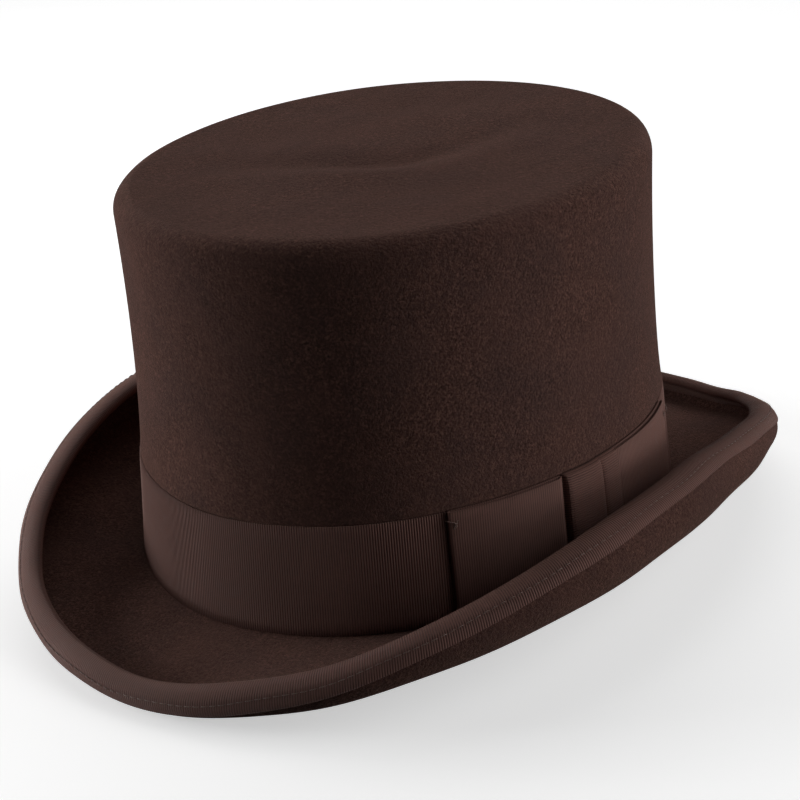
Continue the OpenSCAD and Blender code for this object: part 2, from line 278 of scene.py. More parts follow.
# ---------------------------------------------------------------- materials
class Nodes:
    """A small helper that adds nodes to one material and links them."""

    def __init__(self, name):
        self.material = bpy.data.materials.new(name)
        self.material.use_nodes = True
        self.tree = self.material.node_tree
        self.shader = next(n for n in self.tree.nodes if n.type == "BSDF_PRINCIPLED")

    def put(self, socket, value):
        if isinstance(value, bpy.types.NodeSocket):
            self.tree.links.new(value, socket)
        elif value is not None:
            socket.default_value = value

    def add(self, kind, inputs=(), **settings):
        made = self.tree.nodes.new(kind)
        for key, value in settings.items():
            setattr(made, key, value)
        for key, value in dict(inputs).items():
            self.put(made.inputs[key], value)
        return made

    def math(self, operation, a, b=None, c=None):
        return self.add("ShaderNodeMath", {0: a, 1: b, 2: c}, operation=operation).outputs[0]

    def place(self, stretch=(1, 1, 1)):
        coordinates = self.add("ShaderNodeTexCoord").outputs["Object"]
        if stretch == (1, 1, 1):
            return coordinates
        return self.add("ShaderNodeMapping", {"Vector": coordinates, "Scale": stretch}).outputs[0]

    def noise(self, scale, detail=2, roughness=0.5, stretch=(1, 1, 1)):
        inputs = {"Vector": self.place(stretch), "Scale": scale, "Detail": detail, "Roughness": roughness}
        return self.add("ShaderNodeTexNoise", inputs).outputs[0]

    def attribute(self, name):
        return self.add("ShaderNodeAttribute", attribute_name=name).outputs["Fac"]

    def spread(self, value, low, high, out_low=0.0, out_high=1.0):
        inputs = {0: value, 1: low, 2: high, 3: out_low, 4: out_high}
        return self.add("ShaderNodeMapRange", inputs).outputs[0]

    def mix(self, factor, a, b):
        mixed = self.add("ShaderNodeMix", data_type="RGBA")
        for index, value in ((0, factor), (6, a), (7, b)):
            self.put(mixed.inputs[index], value)
        return mixed.outputs[2]

    def bump(self, height, distance, strength=1.0, normal=None):
        inputs = {"Height": height, "Distance": distance, "Strength": strength, "Normal": normal}
        return self.add("ShaderNodeBump", inputs).outputs[0]

    def finish(self, colour, roughness, normal, specular, sheen=0.0, sheen_roughness=0.5, sheen_tint=None):
        for key, value in (
            ("Base Color", colour), ("Roughness", roughness), ("Normal", normal),
            ("Specular IOR Level", specular), ("Sheen Weight", sheen),
            ("Sheen Roughness", sheen_roughness), ("Sheen Tint", sheen_tint),
        ):
            self.put(self.shader.inputs[key], value)
        return self.material


def shade(colour, factor):
    return (*(c * factor for c in colour), 1)


# Colours are linear. noise takes a scale per metre, the detail and the roughness of the noise.
FELT_BROWN = (0.098, 0.0475, 0.038)
FELT_BLOOM = (0.064, 0.040, 0.040)
RIBBON_BROWN = (0.138, 0.069, 0.0565)
THREAD_BROWN = (0.15, 0.085, 0.066)
LEATHER_BROWN = (0.115, 0.058, 0.033)
SATIN_BROWN = (0.034, 0.024, 0.021)
LABEL_CREAM = (0.62, 0.57, 0.48)
FELT_NAP = (0.50, 0.31, 0.25, 1)            # tint of the light that the nap catches at a low angle
RIBBON_NAP = (0.50, 0.32, 0.26, 1)
WARP_PITCH = 0.32                           # millimetres from thread to thread over a rib
TWIST = 9.0                                 # radians of a thread's ply per millimetre
LABEL_WEAVE, LABEL_BORDER, LABEL_LINE = 14.0, 17.2, 0.4


def felt_material():
    """Matted wool: a fine grain of fibre clumps, soft clouds of nap, and a few specks of lint."""
    m = Nodes("felt")
    grain = m.noise(1150, 4, 0.72)
    clumps = m.noise(520, 3, 0.6)
    clouds = m.noise(42, 3, 0.6)
    patches = m.noise(15, 2, 0.5)
    streaks = m.noise(60, 2, 0.5, (1.6, 0.45, 1))
    colour = m.mix(m.spread(grain, 0.38, 0.64), shade(FELT_BROWN, 0.25), shade(FELT_BROWN, 1.95))
    colour = m.mix(m.spread(clumps, 0.36, 0.62, 0.0, 0.7), colour, shade(FELT_BROWN, 0.55))
    colour = m.mix(m.spread(clouds, 0.4, 0.65, 0.0, 0.35), colour, shade(FELT_BLOOM, 0.8))
    colour = m.mix(m.spread(patches, 0.42, 0.6, 0.0, 0.35), colour, shade(FELT_BROWN, 0.75))
    colour = m.mix(m.spread(streaks, 0.45, 0.7, 0.0, 0.25), colour, shade(FELT_BROWN, 1.3))
    specks = m.add("ShaderNodeTexVoronoi", {"Vector": m.place(), "Scale": 190.0})
    lint = m.math("LESS_THAN", specks.outputs["Distance"], 0.06)
    rare = m.math("GREATER_THAN", m.noise(90, 0), 0.64)
    colour = m.mix(m.math("MULTIPLY", m.math("MULTIPLY", lint, rare), 0.5), colour, shade(FELT_BROWN, 2.6))
    normal = m.bump(clumps, 0.0006, 0.7)
    normal = m.bump(grain, 0.0009, 1.0, normal)
    return m.finish(colour, 1.0, normal, 0.05, 0.3, 0.5, FELT_NAP)


def grosgrain_material():
    """Ribs come from the mesh. The weave adds the fine threads that run over them, painted shade in the grooves
    and a painted highlight on each rib's crest.
    """
    m = Nodes("grosgrain")
    base = RIBBON_BROWN
    along = m.attribute("along")
    across = m.attribute("across")
    phase = m.math("FRACT", m.math("DIVIDE", along, RIB))
    ridge = m.math("SINE", m.math("MULTIPLY", phase, math.pi))
    warp = m.math("SINE", m.math("MULTIPLY", across, 2 * math.pi / WARP_PITCH))
    worn = m.noise(260, 3, 0.6)
    clouds = m.noise(30, 2, 0.5)
    # painted shade in the rib grooves and painted highlight on the rib crests, in step with the mesh's ribs
    colour = m.mix(m.spread(ridge, 0.0, 0.8), shade(base, 0.2), shade(base, 1.3))
    colour = m.mix(m.spread(worn, 0.35, 0.7, 0.0, 0.35), colour, shade(base, 1.5))
    colour = m.mix(m.spread(clouds, 0.35, 0.7, 0.0, 0.3), colour, shade(base, 0.75))
    height = m.math("ADD", m.math("MULTIPLY", warp, 0.25), m.math("MULTIPLY", worn, 0.8))
    height = m.math("ADD", height, m.math("MULTIPLY", ridge, 1.1))
    roughness = m.spread(worn, 0.3, 0.7, 0.5, 0.68)
    return m.finish(colour, roughness, m.bump(height, 0.00016, 1.0), 0.14, 0.12, 0.4, RIBBON_NAP)


def thread_material():
    """Sewing thread with its ply, painted shade between the plies and a painted highlight on them, and a little
    fuzz.
    """
    m = Nodes("thread")
    twist = m.math("SINE", m.math("MULTIPLY", m.math("ADD", m.attribute("along"), m.attribute("across")), TWIST))
    fuzz = m.noise(2600, 2)
    # painted shade between the plies and painted highlight on each ply
    colour = m.mix(m.spread(twist, -1, 1), shade(THREAD_BROWN, 0.65), shade(THREAD_BROWN, 1.2))
    colour = m.mix(m.spread(fuzz, 0.3, 0.7, 0.0, 0.4), colour, shade(THREAD_BROWN, 1.4))
    return m.finish(colour, 0.6, m.bump(twist, 0.00008, 0.7), 0.3, 0.3, 0.4)


def leather_material():
    """Smooth leather with pores, fine creases and soft clouds."""
    m = Nodes("leather")
    pores = m.add("ShaderNodeTexVoronoi", {"Vector": m.place(), "Scale": 900.0}).outputs["Distance"]
    creases = m.noise(260, 4, 0.6, (1, 1, 2.2))
    clouds = m.noise(34, 3, 0.55)
    colour = m.mix(m.spread(clouds, 0.3, 0.7), shade(LEATHER_BROWN, 0.78), shade(LEATHER_BROWN, 1.22))
    colour = m.mix(m.spread(pores, 0.0, 0.35, 0.45, 0.0), colour, shade(LEATHER_BROWN, 0.5))
    height = m.math("ADD", m.math("MULTIPLY", pores, 0.7), creases)
    roughness = m.spread(creases, 0.3, 0.7, 0.36, 0.55)
    return m.finish(colour, roughness, m.bump(height, 0.00022, 0.7), 0.45)


def satin_material():
    """Lining satin, shinier across its upright threads."""
    m = Nodes("satin")
    weft = m.noise(900, 2, 0.5, (1, 1, 0.06))
    clouds = m.noise(26, 2, 0.5)
    colour = m.mix(m.spread(clouds, 0.3, 0.7), shade(SATIN_BROWN, 0.8), shade(SATIN_BROWN, 1.3))
    colour = m.mix(m.spread(weft, 0.3, 0.7, 0.0, 0.35), colour, shade(SATIN_BROWN, 1.8))
    material = m.finish(colour, m.spread(weft, 0.3, 0.7, 0.3, 0.42), m.bump(weft, 0.00008, 0.5), 0.6)
    m.shader.inputs["Anisotropic"].default_value = 0.5
    return material


def label_material():
    """A plain woven tab with one line near its end and no lettering."""
    m = Nodes("label")
    along, across = m.attribute("along"), m.attribute("across")
    weave = m.math("MULTIPLY", m.math("SINE", m.math("MULTIPLY", along, LABEL_WEAVE)),
                   m.math("SINE", m.math("MULTIPLY", across, LABEL_WEAVE)))
    soil = m.noise(220, 3)
    border = m.math("LESS_THAN", m.math("ABSOLUTE", m.math("SUBTRACT", across, LABEL_BORDER)), LABEL_LINE)
    colour = m.mix(m.spread(soil, 0.3, 0.7), shade(LABEL_CREAM, 0.82), shade(LABEL_CREAM, 1.08))
    colour = m.mix(border, colour, shade(RIBBON_BROWN, 1.6))
    return m.finish(colour, 0.75, m.bump(weave, 0.0001, 0.7), 0.25, 0.2)


# ---------------------------------------------------------------- felt body
TIP_ROWS = 40
TIP_CREASE = np.array([(-40, -37), (-24, -25), (-7, -14.5), (3, -8), (9, -2), (14, 12), (18, 32), (19, 52)],
                      float)
CREASE_DEPTH, CREASE_REACH = 1.7, 8.5       # the valley along the crease
PINCH_DEPTH, PINCH_REACH = 0.7, 2.0         # the sharp stretch in its middle
HUMP_HEIGHT, HUMP_AWAY, HUMP_REACH = 0.8, 15, 8
BAND_SWELL, SWELL_START, SWELL_END = 0.75, 0.35, 9      # the felt's bulge over the band's edge
BEND = 0.8                                  # small rounds where the crown meets the brim


def tip_relief(x, y):
    """How far the tip's face dips at each point: soft waves and one shallow crease across the middle."""
    p = np.stack([x, y], -1)[:, None]
    start, step = TIP_CREASE[:-1], np.diff(TIP_CREASE, axis=0)
    t = np.clip(((p - start) * step).sum(-1) / (step ** 2).sum(-1), 0, 1)
    reach = np.linalg.norm(p - start - t[..., None] * step, axis=-1)
    nearest = reach.argmin(1)
    away = reach.min(1)
    along = (nearest + t[np.arange(len(x)), nearest]) / len(step)
    ease = np.sin(np.pi * np.clip(along, 0.02, 0.98)) ** 0.7
    valley = CREASE_DEPTH * ease * np.exp(-(away / CREASE_REACH) ** 2)
    valley += PINCH_DEPTH * np.exp(-(away / PINCH_REACH) ** 2 - ((along - 0.42) / 0.11) ** 2)
    side = np.sign(np.cross(step[nearest], p[:, 0] - start[nearest]))
    hump = HUMP_HEIGHT * ease * np.exp(-((away - HUMP_AWAY) / HUMP_REACH) ** 2) * (side < 0)
    waves = 0.28 * np.sin(x / 11 + 1.2) * np.cos(y / 15) + 0.18 * np.sin((x - 1.4 * y) / 9.5)
    rim = np.hypot(x / (HALF_WIDTH - SIDE_INSET - TIP_ROUND), y / (HALF_LENGTH - SIDE_INSET - TIP_ROUND))
    return (valley - hump + waves + 0.5) * np.clip(1 - rim ** 5, 0, 1)


def swell_over_band(over):
    """The felt stands out a little above the ribbon that is pulled tight round it."""
    if over <= 0:
        return 0
    return BAND_SWELL * (1 - math.exp(-over / SWELL_START)) * math.exp(-over / SWELL_END)


def crown_rows(a, depth, low):
    """Rows of the crown's shell from the tip's middle down to low above the foot."""
    rows = []
    edge = -SIDE_INSET - TIP_ROUND
    for s in np.linspace(0.02, 1, TIP_ROWS):
        row = place(a, edge, tip_z - depth)
        rows.append(row * np.array([s, s, 1]))
    for q in np.radians(np.linspace(0, 90, 12)[1:]):
        r = TIP_ROUND - depth
        rows.append(place(a, edge + r * np.sin(q), tip_z - TIP_ROUND + r * np.cos(q)))
    top = tip_z - TIP_ROUND
    band_top = foot_z(a) + ledge(a, AIR) + BAND_LIFT + BAND_HEIGHT
    for t in np.linspace(0, 1, 26)[1:]:
        rows.append(on_side(a, top + (band_top + 3 - top) * t, swell_over_band(3 * t + (1 - t) * 90) - depth))
    for over in (2.4, 1.8, 1.2, 0.8, 0.5, 0.25, 0.0, -0.4):
        rows.append(on_side(a, band_top + over, swell_over_band(over) - depth))
    for t in np.linspace(0, 1, 8)[1:]:
        rows.append(on_side(a, band_top - 0.4 + (foot_z(a) + low - band_top + 0.4) * t, -depth))
    return rows


def roll_distances(a, count):
    """Distances along the brim's rolled part, from its start to the round of the edge."""
    start, end = flat_width(a), at_angle("width", a) - EDGE
    return [start + (end - start) * t for t in np.linspace(0, 1, count)]


def felt_body():
    a = np.arange(0, 360, 1.0)
    rows = crown_rows(a, 0, FELT + BEND)
    for row in rows[:TIP_ROWS]:
        row[:, 2] -= tip_relief(row[:, 0], row[:, 1])
    rows.append(place(a, BEND * 0.3, foot_z(a) + ledge(a, BEND * 0.3) + BEND * 0.3))
    for t in np.linspace(0, 1, 15)[:-1]:
        rows.append(on_brim(a, 2 * BEND + (flat_width(a) - 2 * BEND) * t, FELT))
    rolled = roll_distances(a, 20)
    rows += [on_brim(a, d, FELT) for d in rolled]
    for q in np.radians([150, 120, 90, 60, 30]):
        rows.append(on_brim(a, at_angle("width", a) - EDGE + EDGE * np.sin(q), EDGE - EDGE * np.cos(q)))
    rows += [on_brim(a, d, 0) for d in rolled[::-1]]
    for t in np.linspace(1, 0, 15)[1:]:
        rows.append(on_brim(a, 1 + (flat_width(a) - 1) * t, 0))
    rows.append(place(a, -FELT * 0.6, foot_z(a) + FELT * 0.3))
    rows += crown_rows(a, FELT, FELT + BEND)[::-1]
    return finish_piece(closed_ring("felt_hood", rows), felt_material(), "felt", "felt_body")


# ---------------------------------------------------------------- ribbons
def rib_crest(along):
    """1 on the ridge of each rib and 0 in the grooves."""
    return np.abs(np.sin(np.pi * along / RIB))


def rib_height(crest, depth):
    """The ribbon's face over one rib: a round ridge between narrow grooves."""
    return depth * (crest ** 0.7 - 0.6)


def arc_lengths(points):
    steps = np.linalg.norm(np.diff(points, axis=0), axis=1)
    return np.concatenate([[0], np.cumsum(steps)])


def strip_angles(low, high, out, per_rib, z=30.0):
    """Angles low to high with per_rib steps to a rib, and the length along the strip at each."""
    fine = np.linspace(low, high, 2000)
    length = arc_lengths(on_side(fine, foot_z(fine) + z, out))
    ribs = max(1, round(length[-1] / RIB))
    along = np.linspace(0, length[-1], ribs * per_rib + 1)
    scale = ribs * RIB / length[-1]
    return np.interp(along, length, fine), along * scale


def side_ribbon(name, a, along, lift, height, inner, thick, rows, wave):
    """A ribbed ribbon against the crown's side. Its two selvedges are slightly scalloped by the ribs."""
    crest = rib_crest(along)
    scallop = 0.16 * crest
    top = ledge(a, inner) + lift + height + scallop
    sections, acrosses = [], []
    face = []
    for k in np.linspace(0, 1, rows):
        low = ledge(a, inner + thick) + lift - scallop
        swell = wave(a, k)
        selvedge = 0.12 * (np.abs(2 * k - 1) > 0.94)
        face.append((k, low + (top - low) * k, inner + thick + rib_height(crest, BAND_RIB) + swell - selvedge))
    back = []
    for k in (1, 0.5, 0):
        low = ledge(a, inner) + lift
        swell = wave(a, k)
        back.append((k, low + (top - low) * k, inner + np.minimum(0, swell) + 0 * a))
    for k, height_over, out in face + back:
        sections.append(on_side(a, foot_z(a) + height_over, out))
        acrosses.append(0 * along + k * height)
    sections, across = np.stack(sections, 1)[:, ::-1], np.stack(acrosses, 1)[:, ::-1]
    return tube_strip(name, sections, on_cloth(along, across))


def hatband(material):
    """One turn round the crown. Its ends meet under the bow's knot."""
    meets = (KNOT_START + KNOT_END) / 2
    a, along = strip_angles(meets + 0.3, meets + 359.7, AIR + BAND_T, 4)

    def wave(a, k):
        return 0.10 * np.sin(np.radians(a) * 9 + 1.0) * (0.3 + k)

    piece = side_ribbon("hatband_ribbon", a, along, BAND_LIFT, BAND_HEIGHT, AIR, BAND_T, 11, wave)
    finish_piece(piece, material, "ribbon", "hatband")
    return cut_sheet(piece, BAND_HEIGHT, along[-1], "laid", "felt_body")


def brim_binding(material):
    """The binding is one ribbon folded over the brim's edge, made as a closed ring without its join."""
    fine = np.linspace(180, 540, 6000)
    out, rise = brim_point(fine, at_angle("width", fine) - 6, -BINDING_T)
    length = arc_lengths(place(fine, out, foot_z(fine) + rise))
    ribs = round(length[-1] / RIB)
    per_rib = 3
    along = np.linspace(0, ribs * RIB, ribs * per_rib + 1)[:-1]
    a = np.interp(along * length[-1] / (ribs * RIB), length, fine)
    crest = rib_crest(along + 0.5 * RIB / per_rib)
    height = rib_height(crest, BINDING_RIB)
    width = at_angle("width", a)

    def wrap(gap, rib, levels):
        """Rows of the ribbon gap out from the felt: along the outer face, over the edge and back."""
        start = width - BINDING_WIDTH - (SCALLOP * crest if rib is not None else 0)
        lift = 0 if rib is None else rib
        outer, inner = [], []
        for level in levels:
            t = level / levels[-1]
            furrow = FURROW_DEPTH * math.exp(-((level - BINDING_WIDTH + STITCH_FROM_EDGE) / FURROW_REACH) ** 2)
            sink = (0.16 * (level == 0) + furrow) if rib is not None else 0
            d = start + (width - EDGE - start) * t
            outer.append((d, -(gap + lift) + sink, level))
            inner.append((d, FELT + gap + lift - sink, 2 * BINDING_WIDTH + 3 - level))
        over = []
        for q in np.radians(np.linspace(0, 180, 5 if rib is None else 7)[1:-1]):
            reach = EDGE + gap + lift
            over.append((width - EDGE + reach * np.sin(q), EDGE - reach * np.cos(q), BINDING_WIDTH + q))
        return outer + over + inner[::-1]

    face_levels = (0, 0.35, 1.8, 3.2, 3.7, 4.0, 4.4, 5.4, 8.0, BINDING_WIDTH - EDGE)
    rows = wrap(AIR + BINDING_T, height, face_levels)
    rows += wrap(AIR, None, (0, BINDING_WIDTH - EDGE))[::-1]
    sections = np.stack([on_brim(a, d, u) for d, u, _ in rows], 1)[:, ::-1]
    across = np.stack([0 * along + w for _, _, w in rows], 1)[:, ::-1]
    piece = tube_strip("binding_ribbon", sections, on_cloth(along, across), True)
    finish_piece(piece, material, "ribbon", "brim_binding")
    return cut_sheet(piece, 2 * BINDING_WIDTH + FELT, ribs * RIB, "folded", "felt_body")


# ---------------------------------------------------------------- threads
def tube_along(path, radius, sides=7):
    """Points and faces of one round thread through a path, pinched at both ends."""
    path = np.asarray(path, float)
    tangent = np.gradient(path, axis=0)
    tangent /= np.linalg.norm(tangent, axis=1, keepdims=True)
    side = np.cross(tangent, [0.3, 0.2, 0.93])
    side /= np.linalg.norm(side, axis=1, keepdims=True)
    up = np.cross(side, tangent)
    turn = np.arange(sides) * 2 * np.pi / sides
    radius = np.broadcast_to(radius, len(path))[:, None, None]
    round_it = np.cos(turn)[None, :, None] * side[:, None] + np.sin(turn)[None, :, None] * up[:, None]
    ring = path[:, None] + radius * round_it
    return ring.reshape(-1, 3), (len(path), sides)


def threads_object(name, paths, radius, ends=0.45):
    """Many short threads as one mesh, each a closed capsule."""
    points, faces, alongs, acrosses, start = [], [], [], [], 0
    for path in paths:
        path = np.asarray(path, float)
        taper = np.ones(len(path))
        taper[0] = taper[-1] = ends
        ring, (m, n) = tube_along(path, radius * taper)
        points.append(ring)
        faces += tube_faces(m, n, start)
        alongs.append(np.repeat(arc_lengths(path), n))
        acrosses.append(np.tile(np.arange(n) / n * 0.7, m))
        start += m * n
    return mesh_object(name, np.concatenate(points), faces,
                       [("along", np.concatenate(alongs)), ("across", np.concatenate(acrosses))])


def running_stitches(function, start, end, pitch, share, rng):
    """Paths of stitches along a line. function(a, bulge) gives the point at angle a, bulge off the cloth.

    pitch is the step in millimetres from stitch to stitch, and share is the part of it that shows.
    """
    fine = np.linspace(start, end, 4000)
    length = arc_lengths(function(fine, 0 * fine))
    paths = []
    for k in range(int(length[-1] / pitch)):
        first = k * pitch + rng.uniform(-0.12, 0.12)
        s = first + np.linspace(0, pitch * share, 6)
        a = np.interp(s, length, fine)
        bulge = np.array([-0.28, 0.02, 0.10, 0.10, 0.02, -0.28]) + rng.uniform(-0.03, 0.03)
        paths.append(function(a, bulge))
    return paths


def binding_stitches(material):
    rng = np.random.default_rng(7)
    pitch, share, radius = BINDING_STITCH
    paths = []
    for face in (-1, 1):
        def line(a, bulge, face=face):
            off = AIR + BINDING_T + STITCH_LIFT + bulge
            sway = STITCH_SWAY * np.sin(np.radians(a) * 23 + face)
            return on_brim(a, at_angle("width", a) - STITCH_FROM_EDGE + sway, -off if face < 0 else FELT + off)
        paths += running_stitches(line, 180.5, 539.5, pitch, share, rng)
    piece = threads_object("binding_stitches", paths, radius)
    return finish_piece(piece, material, "thread", "binding_stitching")


# ---------------------------------------------------------------- bow
def loop_profile(direction, outer_end, inner_end, dive):
    """The loop's line in plan, from the knot along the back, round the fold and back along the front."""
    span = abs(inner_end - outer_end)
    fold_s, low, high, belly = 0.03, 0.35, 1.6, 0.55    # shares of the span, and offsets in millimetres
    back = [(s, low) for s in np.linspace(1, fold_s, 30)]
    fold = [(fold_s - fold_s * math.sin(q), low + (high - low) / 2 * (1 - math.cos(q)))
            for q in np.radians(np.linspace(12, 168, 11))]
    front = []
    for s in np.linspace(fold_s, 1, 90):
        swell = high + belly * math.sin(min(1, s / 0.7) * math.pi / 2)
        shoulder = max(0, (s - 0.95) / 0.05)
        front.append((s, swell - dive * shoulder ** 2))
    line = np.array(back + fold + front)
    return outer_end + direction * span * line[:, 0], BOW_INNER + line[:, 1]


def bow_loop(name, node, outer_end, inner_end, dive, material):
    """A loop of ribbon folded flat at its outer end. dive is how far its front sinks beside the knot."""
    direction = 1 if inner_end > outer_end else -1
    a, out = loop_profile(direction, outer_end, inner_end, dive)
    length = arc_lengths(place(a, out - 2.0, 30.0))
    ribs = round(length[-1] / RIB)
    along = np.linspace(0, ribs * RIB, ribs * 5 + 1)
    at = along * length[-1] / (ribs * RIB)
    a, out = np.interp(at, length, a), np.interp(at, length, out)
    # the outward normal of the line, in (millimetres along the band, out) terms
    per_degree = length[-1] / (2 * abs(inner_end - outer_end))
    t = np.stack([np.gradient(a) * per_degree, np.gradient(out)], 1)
    t /= np.linalg.norm(t, axis=1, keepdims=True)
    normal = np.stack([t[:, 1], -t[:, 0]], 1) * (1 if direction > 0 else -1)
    crest = rib_crest(along)
    ribs_out = rib_height(crest, LOOP_RIB)
    sections, across = [], []
    levels = list(np.linspace(0, 1, 13))
    low0, high0 = BAND_LIFT + 0.2, BAND_LIFT + BAND_HEIGHT + BOW_TALLER
    near_fold = np.clip(1 - np.abs(a - outer_end) / 5.0, 0, 1)
    for face, ks in ((1, levels), (-1, levels[::-1])):
        for k in ks:
            scallop = SCALLOP * crest * (k > 0.99) - SCALLOP * crest * (k < 0.01)
            fold_bows = 0.55 * math.sin(math.pi * k) + 0.25 * math.sin(5.5 * k + 1)
            lean = direction * near_fold * fold_bows / per_degree
            belly = (out - BOW_INNER - 0.3) * 0.10 * math.sin(math.pi * k)
            offset = (LOOP_T / 2 + ribs_out) * face
            aa = a + normal[:, 0] * offset / per_degree + lean
            oo = np.maximum(out + normal[:, 1] * offset + belly, BOW_INNER + 0.02)
            low = ledge(aa, oo) + low0
            high = ledge(aa, 0) + high0
            sections.append(on_side(aa, foot_z(aa) + low + (high - low) * k + scallop, oo))
            across.append(0 * along + k * BAND_HEIGHT)
    order = slice(None, None, -1) if direction > 0 else slice(None)
    sections = np.stack(sections, 1)[:, order]
    across = np.stack(across, 1)[:, order]
    piece = tube_strip(name, sections, on_cloth(along, across))
    finish_piece(piece, material, "ribbon", node)
    return cut_sheet(piece, BAND_HEIGHT, ribs * RIB, "folded", "hatband")


def bow_knot(material):
    """The knot's ribbon runs up and over the band, so its ribs lie level. It is folded in two layers."""
    # share of the knot's width, millimetres off the band; the second fold starts at the dip
    shape = np.array([
        (0.0, 0.5), (0.012, 2.0), (0.03, 2.9), (0.07, 3.4), (0.2, 3.65), (0.4, 3.75), (0.56, 3.7), (0.61, 3.5),
        (0.63, 2.9), (0.645, 2.75), (0.665, 3.2), (0.7, 3.45), (0.8, 3.45), (0.9, 3.3), (0.97, 3.05),
        (0.993, 2.8), (1.0, 2.3),
    ])
    fine = np.unique(np.concatenate([np.linspace(0, 1, 70), np.linspace(0, 0.08, 16), np.linspace(0.6, 0.7, 16)]))
    rise = np.interp(fine, shape[:, 0], shape[:, 1])
    a = KNOT_START + 0.15 + (KNOT_END - KNOT_START - 0.3) * fine
    height = BAND_HEIGHT + BOW_TALLER
    ribs = round((height + 2 * KNOT_TUCK) / RIB)
    along = np.linspace(0, ribs * RIB, ribs * 5 + 1)
    k = (along - KNOT_TUCK) / height             # 0 at the lower edge and 1 at the upper edge
    ribs_out = rib_height(rib_crest(along), KNOT_RIB)
    sections = []
    for s, aa, r in zip(fine, a, rise):
        inside = np.clip(k, 0, 1)
        ends = 1 - 0.32 * np.abs(2 * inside - 1) ** 5
        over = np.clip(np.abs(k - 0.5) - 0.5, 0, 1) * height
        turned = np.clip(over / KNOT_TUCK, 0, 1) * math.pi / 2
        out = BOW_INNER + (r * ends + ribs_out) * np.cos(turned) ** 0.8 + 0.05
        out = np.maximum(out, BOW_INNER + 0.05)
        dip = 0.12 * math.sin(9 * s + 1)
        low = ledge(aa, BOW_INNER + r) + BAND_LIFT - 0.1
        high = ledge(aa, 0) + BAND_LIFT + height - 0.35 + dip
        z = foot_z(aa) + low + (high - low) * inside
        z = z + np.where(k > 1, 0.5 * np.sin(turned), np.where(k < 0, -0.1 * np.sin(turned), 0))
        sections.append(on_side(aa, z, out))
    front = np.stack(sections)
    m, n = front.shape[:2]
    back_out = BOW_INNER + 0.02
    z = front[..., 2]
    back = on_side(a[:, None] + 0 * z, z, back_out)
    points = np.concatenate([front.reshape(-1, 3), back.reshape(-1, 3)])
    faces = [f[::-1] for f in grid_faces(m, n, False, False)]
    faces += grid_faces(m, n, False, False, m * n)
    border = ([(0, j) for j in range(n - 1)] + [(i, n - 1) for i in range(m - 1)]
              + [(m - 1, j) for j in range(n - 1, 0, -1)] + [(i, 0) for i in range(m - 1, 0, -1)])
    index = [i * n + j for i, j in border]
    faces += [[here + m * n, there + m * n, there, here] for here, there in zip(index, index[1:] + index[:1])]
    attributes = [("along", np.tile(along, 2 * m)), ("across", np.tile(np.repeat(fine * KNOT_FACE, n), 2))]
    piece = mesh_object("bow_knot_ribbon", points, faces, attributes)
    finish_piece(piece, material, "ribbon", "bow_knot")
    return cut_sheet(piece, KNOT_WIDTH, ribs * RIB, "folded", "hatband")


def bow_tacks(material):
    """The few hand stitches that hold each loop's outer end, with a loose tail."""
    rng = np.random.default_rng(3)
    paths = []
    for a0, direction in ((BOW_START, 1), (BOW_END, -1)):
        z0 = float(foot_z(a0) + ledge(a0, AIR) + BAND_HEIGHT - 3)
        for lean in (-0.7, 0.1, 0.8):
            t = np.linspace(-1, 1, 7)
            a = a0 + direction * (1.3 + 0.45 * t + 0.12 * lean)
            out = BOW_INNER + 2.0 + 0.35 * (1 - t ** 2) + rng.uniform(-0.05, 0.05)
            paths.append(on_side(a, z0 + lean + 0.9 * t * (0.6 + 0.3 * lean), out))
        t = np.linspace(0, 1, 9)
        a = a0 + direction * (1.2 - 1.5 * t + 0.5 * np.sin(4 * t))
        paths.append(on_side(a, z0 + 0.6 + 1.6 * t, BOW_INNER + 2.1 + 1.0 * np.sin(math.pi * t)))
    piece = threads_object("bow_tack_threads", paths, TACK_THREAD, 0.6)
    return finish_piece(piece, material, "thread", "bow_tacks")


# ---------------------------------------------------------------- inside
def strip_solid(name, a, levels, outer, inner, material, slot, node):
    """A plain strip on the inside of the crown. outer and inner give the offset at angle a and level k."""
    points, acrosses = [], []
    for k, height in levels:
        points.append(on_side(a, foot_z(a) + height(a), outer(a, k)))
        acrosses.append(0 * a + k * SWEAT_HEIGHT)
    for k, height in levels[::-1]:
        points.append(on_side(a, foot_z(a) + height(a), inner(a, k)))
        acrosses.append(0 * a + k * SWEAT_HEIGHT)
    sections = np.stack(points, 1)[:, ::-1]
    across = np.stack(acrosses, 1)[:, ::-1]
    piece = tube_strip(name, sections, on_cloth(arc_lengths(sections[:, 0]), across))
    return finish_piece(piece, material, slot, node)


def sweatband(material):
    """The leather, one strip with its open joint at the back."""
    a = np.linspace(180.25, 539.75, 541)
    levels = [(k, lambda a, k=k: SWEAT_LOW + SWEAT_HEIGHT * k + 0.25 * k * np.sin(np.radians(a) * 5))
              for k in np.concatenate([[0, 0.01], np.linspace(0.03, 0.97, 26), [0.99, 1]])]

    def relief(a, k):
        """How far the leather stands into the head space: a free wavy top edge and two pressed lines."""
        ripple = 1.1 + np.sin(np.radians(a) * 7 + 0.8) + 0.5 * np.sin(np.radians(a) * 13)
        free = 0.9 * max(0, k - 0.55) ** 1.3 * ripple
        pressed = sum(depth * math.exp(-((k - at) / reach) ** 2) for at, reach, depth in PRESSED_LINES)
        ends = 0.25 * (k < 0.005) + 0.25 * (k > 0.995)
        return free - pressed - ends

    return strip_solid("sweatband_leather", a, levels,
                       lambda a, k: SWEAT_OUT + 0 * a - 0.2 * ((k < 0.005) + (k > 0.995)),
                       lambda a, k: SWEAT_IN - relief(a, k), material, "leather", "sweatband")


